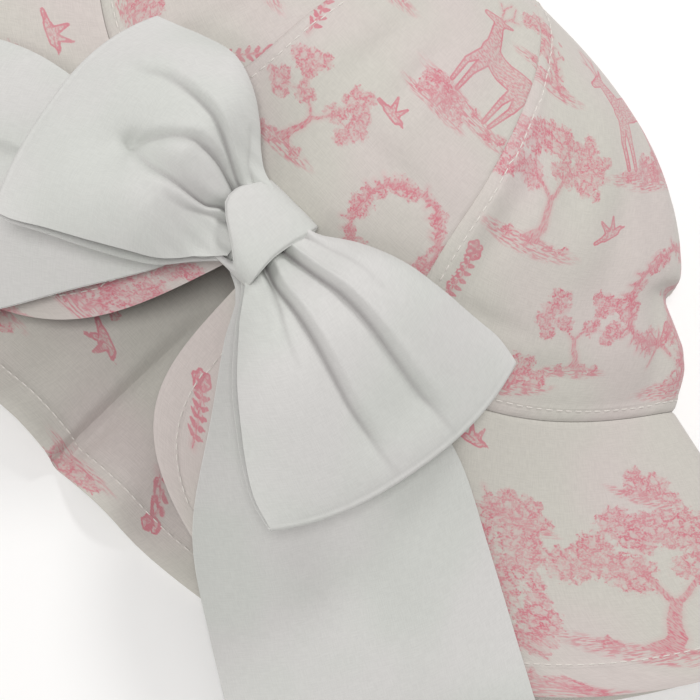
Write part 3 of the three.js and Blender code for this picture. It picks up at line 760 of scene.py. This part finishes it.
def brim_layer(name, rows, cols, offset, placed, facing):
    """The outside (facing 1) or the lining (facing -1)."""
    out, base_turn = grid_of(np.linspace(1, 0.0015, rows), np.linspace(SPLIT, 360 - SPLIT, cols))
    turn = base_turn + end_shift("right", out) * np.clip(1 - base_turn / 90, 0, 1)
    turn -= end_shift("left", out) * np.clip(1 - (360 - base_turn) / 90, 0, 1)
    base, normal = hat_point(turn, -out), hat_normal(turn, -out)
    around = arc(base, 1)
    back_around = around[:, -1:] - around
    u = (around / around[:, -1:]) * BRIM_PRINT_LENGTH - BRIM_PRINT_LENGTH / 2
    hem, seam = (1 - out) * BRIM, out * BRIM
    ends = np.minimum(around, back_around)
    edge = np.minimum(hem, ends)
    relief = brim_relief(turn, out)
    relief += 0.16 * ripple(u, 40 + rows, 5.5) * bell(edge - HEM_STITCH, 5)
    seam_dip = -0.25 * bell(seam, 0.45) + 0.2 * ripple(u, 60, 6) * np.exp(-seam / 4) * smooth(0, 2, seam)
    roll = -0.25 * bell(edge, 0.5) + 0.14 * smooth(1.0, 2.0, edge) * smooth(9.5, 8.5, edge)
    middle = base + normal * relief[..., None]
    lowest = np.minimum(middle[..., 2], (middle - normal * CLOTH)[..., 2])
    middle[..., 2] += np.maximum(0.35 - lowest, 0)
    grid = middle + normal * (facing * (seam_dip + roll) - offset)[..., None]
    placed_mm = []
    mid = rows // 3
    for motif, degrees, share, size, rotate, mirror in placed:
        j = int(np.argmin(np.abs(turn[mid] - degrees)))
        placed_mm.append((motif, u[mid, j], (1 - share) * BRIM, size, rotate, mirror))
    fields = print_fields(u, hem, placed_mm)
    fields["stitch"] = np.minimum(np.abs(edge - HEM_STITCH), 5)
    fields["cloth"] = np.stack([u, hem + 300 + 100 * facing, 0 * u], -1)
    surface = grid if facing > 0 else grid - normal * LAYER
    normal = facing * normal
    wall = shell(surface, normal, LAYER, fields, coarse=4, flip=facing > 0)
    obj = make_mesh(name, *wall, PRINT, "printed_cotton")
    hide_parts("brim")
    # stitches along the hem and up both ends
    i = int(np.argmin(np.abs(hem[:, 0] - HEM_STITCH)))
    pick = ends[i] > HEM_STITCH
    STITCHES.append((surface[i][pick], normal[i][pick]))
    part = slice(i, rows - 2)
    for d in (around, back_around):
        STITCHES.append(stitch_row(HEM_STITCH, d[part], surface[part], normal[part]))
    return grid


BRIM_GRID = brim_layer("brim_cloth", 92, 860, 0.0, BRIM_PRINT, 1)
brim_layer("brim_lining", 64, 700, LAYER_GAP, LINING_PRINT, -1)


# What lies on the hat
class HeightMap:
    """The highest point over each square millimetre of the table."""

    low = np.array([-200.0, -190.0])
    shape = (401, 281)

    def __init__(self, z=None):
        self.z = np.zeros(self.shape) if z is None else z

    def add(self, grid):
        """Adds a surface, with points between its own so that no cell is missed."""
        for pts in (grid, (grid[1:] + grid[:-1]) / 2, (grid[:, 1:] + grid[:, :-1]) / 2):
            pts = pts.reshape(-1, 3)
            ij = np.round(pts[:, :2] - self.low).astype(int)
            ok = ((ij >= 0) & (ij < self.shape)).all(1)
            np.maximum.at(self.z, (ij[ok, 0], ij[ok, 1]), pts[ok, 2])

    def at(self, x, y):
        f = np.clip(np.stack([x, y], -1) - self.low, 0, np.array(self.shape) - 1.001)
        i = f.astype(int)
        f = f - i
        z, i, j = self.z, i[..., 0], i[..., 1]
        return lerp(lerp(z[i, j], z[i + 1, j], f[..., 0]), lerp(z[i, j + 1], z[i + 1, j + 1], f[..., 0]), f[..., 1])

    def swell(self):
        """The same map with every point as high as the highest beside it."""
        rolls = [np.roll(self.z, (dx, dy), (0, 1)) for dx in (-1, 0, 1) for dy in (-1, 0, 1)]
        return HeightMap(np.max(rolls, axis=0))


def finer(values, rows, cols):
    """A smooth surface through a coarse grid of values."""
    for axis, count in ((0, rows), (1, cols)):
        values = np.moveaxis(values, axis, 0)
        n = len(values) - 1
        at = np.linspace(0, n, count)
        i = np.clip(at.astype(int), 0, n - 1)
        f = (at - i)[:, None]
        a, b, c, d = (values[np.clip(i + k, 0, n)] for k in (-1, 0, 1, 2))
        values = b + f * (c - a + f * (2 * a - 5 * b + 4 * c - d + f * (3 * (b - c) + d - a))) / 2
        values = np.moveaxis(values, 0, axis)
    return values


ON_TABLE = 0.2  # lower than this there is nothing but the table
LIFT = 0.35  # how far a cloth stays off what is under it


def beside(padded):
    """The four neighbours of every point of a padded grid."""
    return padded[:-2, 1:-1], padded[2:, 1:-1], padded[1:-1, :-2], padded[1:-1, 2:]


def lay(plan, heights, coarse, passes, reach):
    """Heights of a cloth laid on what is under it: it bridges hollows and never dips into what it lies on."""
    rows, cols = plan.shape[:2]
    ri = np.round(np.linspace(0, rows - 1, coarse[0] + 1)).astype(int)
    ci = np.round(np.linspace(0, cols - 1, coarse[1] + 1)).astype(int)
    few = plan[np.ix_(ri, ci)]
    steps = (-reach, 0, reach)
    floor = np.max([heights.at(few[..., 0] + a, few[..., 1] + b) for a in steps for b in steps], axis=0)
    floor = np.where(floor > ON_TABLE, floor + 0.3, 0.0)
    z = floor.copy()
    for _ in range(passes):
        z = np.maximum(floor, np.nanmean(np.stack(beside(np.pad(z, 1, constant_values=np.nan))), axis=0))
    z = finer(z, rows, cols)
    under = heights.at(plan[..., 0], plan[..., 1])
    under = np.where(under > ON_TABLE, under + LIFT, 0.05)
    for _ in range(30):
        z = sum(beside(np.pad(np.maximum(under, z), 1, mode="edge"))) / 4
    return np.maximum(under, z)


KNOT = np.array([-4.5, -REST - 1.0])


def sash_plan(side, drop, out, across):
    """The plan of a piece that runs out of the knot, dropping by some degrees."""
    line = np.radians(drop)
    c, s = np.cos(line), np.sin(line)
    return np.stack([side * (out * c + across * s) + KNOT[0], across * c - out * s + KNOT[1], 0 * out], -1)


over_hat = HeightMap()
for g in [*CROWN_GRIDS, BRIM_GRID]:
    over_hat.add(g)
over_hat = over_hat.swell()


# Tails
# out from the knot, width
TAIL_WIDTH = np.array([
    [0, 14.5], [5, 15.0], [13, 15.5], [22, 26.5], [38, 42.0], [65, 68.0], [91, 74.0], [135, 76.5], [178, 77.0],
])
TAIL_DROP = {"right": 27.0, "left": 30.0}
TAIL_START, TAIL_LENGTH = 2.0, 178.0


def tail(side, sign, rows=170, cols=90):
    out, j = grid_of(np.linspace(TAIL_START, TAIL_LENGTH, rows), np.linspace(-1, 1, cols))
    across = j * column(TAIL_WIDTH, 1, out) / 2
    plan = sash_plan(sign, TAIL_DROP[side], out, across)
    z = lay(plan, over_hat, coarse=(24, 10), passes=26, reach=2.4)
    # gathers that run out of the knot, and lengthwise waves
    relief = 1.5 * np.exp(-(out / 34) ** 1.5) * (0.5 + 0.5 * np.cos(j * 7.5 + 0.6)) * smooth(0, 12, out)
    relief += 0.5 * bell(out - 70, 60) * (1 + np.cos(j * 5.0 + 1.2 + out / 55))
    if side == "right":
        # a shallow hollow under the loop's edge, and soft waves from it to the end
        relief -= 2.2 * bell(out - 82, 15, across + 2, 10)
        relief += 1.2 * bell(out - 84, 16, across - 16, 9)
        waves = np.cos(across / 10.5 + 0.9 + out / 70) + 0.4 * np.cos(across / 5.2 + out / 40)
        relief += 0.9 * smooth(60, 110, out) * waves
    else:
        # a fold that keeps its edge along the upper half
        line = 9.5 * np.clip(out / 65, 0, 1.15)
        relief += 1.8 * smooth(-0.5, 0.5, across - line) * smooth(22, 40, out) * smooth(37, 12, across)
    plan[..., 2] = z + SASH_CLOTH + relief
    plan = plan if sign < 0 else plan[:, ::-1]
    normal = grid_normals(plan)
    normal *= np.sign(normal[..., 2:3])
    fields = {"cloth": cloth_places(plan, v0=500 if sign > 0 else 900)}
    wall = shell(plan, normal, SASH_CLOTH, fields, coarse=4, flip=True)
    obj = make_mesh(f"tail_{side}_cloth", *wall, WHITE, "white_cotton")
    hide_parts(f"tail_{side}")
    return obj, plan


TAILS = {side: tail(side, sign) for side, sign in (("right", 1), ("left", -1))}
over_tails = HeightMap(over_hat.z.copy())
for _, g in TAILS.values():
    over_tails.add(g)
over_tails = over_tails.swell()


# Loops
# out from the knot, lower edge, upper edge
LOOP_EDGES = {
    "right": np.array([
        [2, -9, 9], [9, -9.8, 10.2], [18, -17.3, 17], [31, -25.8, 23.6], [45, -32, 28.5], [57, -36.4, 33],
        [64, -38.2, 35.6], [72, -38.6, 36.6],
    ]),
    "left": np.array([
        [2, -10, 9.5], [8, -14.5, 13], [15, -20.3, 20.2], [23, -23.7, 26], [34, -27, 30.6], [47, -30.4, 31.6],
        [55, -32.8, 31], [60, -33.4, 30.5],
    ]),
}
# side, drop in degrees, length, how far the lower and upper corners are pulled in
LOOP_SET = {"right": (1, 11.0, 71.0, (8.0, 8.0)), "left": (-1, 10.5, 59.0, (4.5, 9.0))}
# Creases: points along each (out, across), depth at the knot and at the far end,
# how wide its slope is below and above it, height of the lip on its steep side
CREASES = {
    "right": [
        ([(5, 2.0), (8.2, 2.4), (14.4, 3.4), (20.3, 4.3), (28, 6), (36.3, 7.3), (45, 8.3), (53.6, 9.5), (61.5, 11.1),
          (71, 13.4)], 4.8, 1.5, 5.4, 0.8, 1.3),
        ([(5, -2.2), (9.5, -3), (15, -4.6), (22.6, -5.6), (30.6, -6.1), (40.6, -6.7), (49.3, -7), (56.7, -6.4),
          (64, -5.8), (71, -4.4)], 4.6, 1.2, 5.0, 0.8, 1.1),
        ([(6, -3.4), (12.9, -4.9), (19, -7.3), (26, -10.6), (36, -13.3)], 2.2, 0.0, 1.0, 2.2, 0.3),
        ([(6, 6.5), (13, 9.6), (22, 12.8), (34, 15)], 1.2, 0.0, 2.6, 1.6, 0.3),
    ],
    "left": [
        ([(6, 3.4), (9.4, 4.2), (17, 6.4), (23, 6.6), (29, 4.4), (34, 0.8), (36.5, -2.0)], 3.4, 2.4, 2.0, 1.2, 0.7),
        ([(6, -0.4), (10, -0.9), (13.8, -3.1), (20.3, -4.2), (28.6, -4.6), (36.5, -2.4)], 4.4, 2.6, 1.1, 3.0, 0.6),
        ([(6, 5.0), (9.4, 5.6), (16.5, 9.6), (23.5, 13.2), (31.8, 15.2),
          (38.6, 15.8), (47, 13.6)], 3.2, 0.8, 4.2, 1.0, 1.0),
        ([(6, -2.6), (11.5, -5.0), (17.8, -8.0), (24, -9.0)], 1.6, 0.0, 2.2, 1.0, 0.4),
        ([(6, 7.4), (10, 10), (13, 14), (16, 18)], 1.3, 0.0, 1.4, 1.4, 0.3),
    ],
}
# Soft hollows and swells of the top layer: out, across, radius, height
SWELLS = {
    "right": [(40, 22, 16, 1.6), (34, 0, 9, 1.0), (40, -20, 13, 1.2), (62, 2, 10, -1.2)],
    "left": [
        (40, -6, 6.5, -2.4), (31, -13, 7, 1.6), (27, 2.5, 4.2, 1.8), (47, 12, 10, 1.5), (20, 18, 7, 1.2),
        (48, -20, 8, 0.9),
    ],
}


def crease_depth(out, across, points, deep, shallow, below, above, lip):
    """A fold that laps over itself: a long slope on one side, a steep one with a rounded lip on the other.
    Gives its depth, the painted shade along its bottom and how near it is."""
    points = np.array(points, float)
    first, last = points[0, 0], points[-1, 0]
    d = across - column(points, 1, np.clip(out, first, last))
    share = np.clip((out - first) / (last - first), 0, 1)
    soft = 0.2 + 0.9 * share**1.5
    width = np.maximum(np.where(d < 0, below, above) * (0.38 + 0.85 * share), 0.85)
    fade = bell(np.clip(out - last, 0, None), 3.0)
    steep = 1 if above < below else -1
    ridge = lip * bell(steep * d - 1.2 - 2.4 * share, 0.7 + 1.9 * share) * (1 - 0.5 * share)
    depth = lerp(deep, shallow, share**0.8) * np.exp(-(np.sqrt(d * d + soft * soft) - soft) / width) - ridge
    # painted shade: how much the cloth's colour is darkened along the bottom of the crease
    crease_shade = bell(d, 0.32 + 0.5 * share) * (1 - share) ** 0.6 * min(deep / 4.4, 1)
    return depth * fade, crease_shade * fade, bell(d, 2.0) * fade


def loop(side, rows=170, cols=144, fold_rows=10):
    """A flattened tube of sash: its lower layer, the fold at its far end and its puffed upper layer."""
    sign, drop, length, pull = LOOP_SET[side]
    start, fold = 2.0, 2.6
    out, j = grid_of(start + (length - start) * np.linspace(0, 1, rows) ** 1.25, np.linspace(-1, 1, cols))
    share = out / length
    corner = np.where(j < 0, pull[0], pull[1]) * np.abs(j) ** 2.4 * smooth(0.1, 1, share)
    low, high = (column(LOOP_EDGES[side], c, out) for c in (1, 2))
    across = lerp(low, high, (j + 1) / 2)
    out = out - corner
    plan = sash_plan(sign, drop, out, across)
    z = lay(plan, over_tails, coarse=(13, 12), passes=160, reach=1.2)
    rise = np.sin(math.pi * np.clip(share, 0, 1) ** 0.85) ** 0.8 * smooth(3, 26, out)
    top = lerp(6.0, fold, smooth(0, 1, share)) + 11.5 * rise * (1 - 0.62 * np.abs(j) ** 4)
    relief, crease_shades, sinks = (np.zeros_like(out) for _ in range(3))
    for crease in CREASES[side]:
        depth, crease_shade, near = crease_depth(out, across, *crease)
        relief -= depth
        # the strongest painted crease shade of all creases, and how far the inner face sinks
        crease_shades, sinks = np.maximum(crease_shades, crease_shade), np.maximum(sinks, 0.7 * near)
    for o, n, r, h in SWELLS[side]:
        relief += h * bell(out - o, r, across - n, r)
    relief *= smooth(1.0, 0.78, share)
    gathers = 0.4 * bell(out, 14) * np.cos(across * 1.3 + 0.5)
    top = np.maximum(top + relief + gathers, 1.6)
    upper, lower = plan.copy(), plan.copy()
    upper[..., 2], lower[..., 2] = z + top, z
    # the fold is half a circle from the lower layer to the upper
    a = np.linspace(-math.pi / 2, math.pi / 2, fold_rows + 2)[1:-1]
    line = math.radians(drop)
    outward = np.array([sign * math.cos(line), -math.sin(line), 0])
    ring = plan[-1][None] + outward * (fold / 2 * np.cos(a))[:, None, None]
    ring[..., 2] = z[-1] + top[-1] / 2 * (1 + np.sin(a))[:, None]
    grid = np.concatenate([lower, ring, upper[::-1]])
    crease_shades, sinks = (np.concatenate([np.zeros((rows + fold_rows, cols)), f[::-1]]) for f in (crease_shades, sinks))
    if sign < 0:
        grid, crease_shades, sinks = grid[:, ::-1], crease_shades[:, ::-1], sinks[:, ::-1]
    normal = grid_normals(grid)
    upward = bool(normal[-rows // 2, cols // 2, 2] > 0)
    # the painted crease shade goes to the material as a field, darkening the colour there
    fields = {"cloth": cloth_places(grid, v0=1300 * sign), "crease_shade": crease_shades}
    outward_normal = normal if upward else -normal
    wall = shell(grid, outward_normal, SASH_CLOTH * 0.8, fields, coarse=2, flip=upward, sink=sinks)
    obj = make_mesh(f"bow_loop_{side}_cloth", *wall, WHITE, "white_cotton")
    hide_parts(f"bow_loop_{side}")


for side in ("right", "left"):
    loop(side)


# Knot
# y from the knot's middle, left edge, right edge, as seen from above
KNOT_EDGES = np.array([
    [-13, 6.0, 9.3], [-10.6, 2.4, 9.0], [-6.3, -4.2, 8.6], [-3.4, -8.2, 8.5], [-0.6, -10.4, 8.8],
    [3.4, -10.2, 9.5], [8, -7.8, 10.6], [11.6, -6.2, 11.0],
])
# share of the way to the middle of each end, depth
KNOT_ENDS = ((0.25, 1.1), (0.5, 1.5), (0.75, 1.2), (0.97, 0.8))
KNOT_HEIGHT = 13.2
KNOT_HALF_DEPTH = 11.6


def knot(rows=140, cols=56):
    """The sash wound round the middle: a band with folded edges, tapered where it turns under."""
    t, s = grid_of(np.linspace(0, 2 * math.pi, rows, endpoint=False), np.linspace(-1, 1, cols))
    c, d = np.cos(t), np.sin(t)
    roll = np.clip(1 - np.abs(s), 0, 1)
    edge = np.sqrt(1 - (1 - np.clip(roll / 0.09, 0, 1)) ** 2)
    bottom = float(over_tails.at(KNOT[:1], KNOT[1:])[0]) + 0.4
    y = np.sign(c) * np.abs(c) ** 0.55 * (KNOT_HALF_DEPTH - 1.3 * (1 - edge))
    z = np.sign(d) * np.abs(d) ** 0.62 * (KNOT_HEIGHT / 2 - 1.5 * (1 - edge))
    under = smooth(0.2, -0.6, d)
    left = lerp(column(KNOT_EDGES, 1, y), -7.5, under)
    right = lerp(column(KNOT_EDGES, 2, y), 8.0, under)
    x = lerp(left, right, (s + 1) / 2)
    dents = 0.16 * bell(x - 1.2 - y * 0.16, 2.2), 0.2 * bell(x + 4.2 - y * 0.5, 2.6)
    relief = smooth(-0.1, 0.5, d) * (0.8 * (1 - s**2) - dents[0] - dents[1])
    grid = np.stack([x + KNOT[0], y + KNOT[1] - 0.3, bottom + KNOT_HEIGHT / 2 + z + relief], -1)
    around = arc(np.concatenate([grid, grid[:1]]), 0)[:-1]
    cloth = np.stack([x, around + 1700, 0 * x], -1)
    n = np.arange(rows)
    m = (n + 1) % rows
    k = np.arange(cols - 1)
    a, b = n[:, None] * cols + k, m[:, None] * cols + k
    verts, places = [grid.reshape(-1, 3)], [cloth.reshape(-1, 3)]
    faces = [np.stack([a, b, b + 1, a + 1], -1).reshape(-1, 4)]
    # the edges turn in towards the gathered cloth
    start = rows * cols
    for col, way in ((0, -1), (cols - 1, 1)):
        ring = grid[:, col]
        centre = ring.mean(0)
        before, after = n * cols + col, m * cols + col
        for share, depth in KNOT_ENDS:
            inner = lerp(ring, centre, share)
            inner[:, 0] -= way * (depth + 0.4 * np.cos(5 * t[:, 0] + way) * (1 - share))
            verts.append(inner)
            places.append(cloth[:, col] + [0, 0, share])
            quad = np.stack([before, start + n, start + m, after], -1)
            faces.append(quad if way > 0 else quad[:, ::-1])
            before, after = start + n, start + m
            start += rows
    fields = {"cloth": np.concatenate(places)}
    obj = make_mesh("bow_knot_cloth", np.concatenate(verts), np.concatenate(faces), fields, WHITE, "white_cotton")
    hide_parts("bow_knot")


knot()


# Stitches
PITCH = 2.9
STITCH_LENGTH, THREAD_RADIUS, THREAD_SIDES = 2.05, 0.19, 6
# place along a stitch, radius there, as shares
STATIONS = [(-1, 0.0), (-0.93, 0.7), (-0.6, 1.0), (0.6, 1.0), (0.93, 0.7), (1, 0.0)]


def stitch_mesh(name, rows):
    """One small thread capsule for each stitch, along rows of points."""
    half, sides = STITCH_LENGTH / 2, THREAD_SIDES
    angles = np.linspace(0, 2 * math.pi, sides, endpoint=False)
    rings = [(s * half, t, r * THREAD_RADIUS) for s, r in STATIONS for t in angles]
    local = np.array([[x, math.cos(t) * r, math.sin(t) * r] for x, t, r in rings])
    faces = np.array([
        [k + m, k + (m + 1) % sides, k + sides + (m + 1) % sides, k + sides + m]
        for k in range(0, sides * (len(STATIONS) - 1), sides) for m in range(sides)
    ])
    sag = 0.1 - 0.22 * (local[:, 0] / half) ** 4
    rng = np.random.default_rng(4)
    verts, quads = [], []
    for points, normals in rows:
        if len(points) < 3:
            continue
        s = np.r_[0, np.cumsum(np.linalg.norm(np.diff(points, axis=0), axis=1))]

        def at(place, values):
            return np.array([np.interp(place, s, values[:, k]) for k in range(3)])

        for place in np.arange(PITCH, s[-1] - PITCH / 2, PITCH):
            place += rng.normal(0, 0.08)
            p, n = at(place, points), at(place, normals)
            n /= np.linalg.norm(n)
            tangent = at(place + 1, points) - at(place - 1, points)
            tangent -= n * (tangent @ n)
            tangent /= max(np.linalg.norm(tangent), 1e-9)
            side = np.cross(n, tangent)
            quads.append(faces + len(verts) * len(local))
            verts.append(p + local[:, :1] * tangent + local[:, 1:2] * side + (local[:, 2:3] * 0.7 + sag[:, None]) * n)
    make_mesh(name, np.concatenate(verts), np.concatenate(quads), {}, THREAD, "white_cotton")


stitch_mesh("stitches", STITCHES)


# Cloth facts
mean_width = np.mean(column(TAIL_WIDTH, 1, np.linspace(TAIL_START, TAIL_LENGTH, 60)))


# Room
def floor_material():
    n = Nodes("floor")
    tone = n.noise(n.node("ShaderNodeTexCoord", output="Object"), 3.0, 2.0)
    return n.finish({"Base Color": n.mix(tone, grey(0.95), grey(0.97)), "Roughness": 0.9, "Specular IOR Level": 0.1})


bpy.ops.mesh.primitive_plane_add(size=6, location=(0, 0, -0.0002))
floor = bpy.context.object
floor.name = "floor"
floor.data.materials.append(floor_material())

scene = bpy.context.scene
scene.view_settings.view_transform = "Standard"
world = bpy.data.worlds.new("room")
world.use_nodes = True
background = world.node_tree.nodes["Background"]
background.inputs["Color"].default_value = (1.0, 0.975, 0.958, 1)
background.inputs["Strength"].default_value = 0.38
scene.world = world


def add_light(name, kind, place, energy, colour, aim=(0, -0.02, 0.03), **settings):
    light = bpy.data.lights.new(name, kind)
    light.energy, light.color = energy, colour
    for key, value in settings.items():
        setattr(light, key, value)
    obj = bpy.data.objects.new(name, light)
    scene.collection.objects.link(obj)
    obj.location = place
    obj.rotation_euler = (Vector(aim) - Vector(place)).to_track_quat("-Z", "Y").to_euler()


# a soft sun lights the whole floor alike
add_light("overhead", "SUN", (-0.06, -0.26, 1.14), 1.42, (1.0, 0.99, 0.975), (0, 0, 0), angle=math.radians(17))
add_light("key", "AREA", (-0.20, 0.72, 0.84), 4.0, (1.0, 0.995, 0.985), shape="DISK", size=0.28)
add_light("front", "AREA", (-0.70, -0.86, 0.46), 1.5, (1.0, 0.985, 0.97), shape="DISK", size=0.4)


# Camera
def camera():
    """Looks down at 75 degrees from the brim's side, turned 45 degrees, and frames 175 mm at the knot."""
    tilt, distance, width, sensor = math.radians(75), 0.58, 0.175, 36
    right = Vector((1, 0, 0))
    up = Vector((0, math.sin(tilt), math.cos(tilt)))
    back = right.cross(up)
    target = Vector((0, (-REST - 1) * MM, 0.056)) + right * 0.0334 - up * 0.0044
    data = bpy.data.cameras.new("camera")
    data.sensor_fit = "HORIZONTAL"
    data.sensor_width = sensor
    data.lens = sensor * distance / width
    data.clip_start = 0.01
    obj = bpy.data.objects.new("camera", data)
    scene.collection.objects.link(obj)
    half = math.sqrt(0.5)
    turn = Matrix(((right + up) * half, (up - right) * half, back)).transposed()
    obj.matrix_world = Matrix.Translation(target + back * distance) @ turn.to_4x4()
    scene.camera = obj


camera()
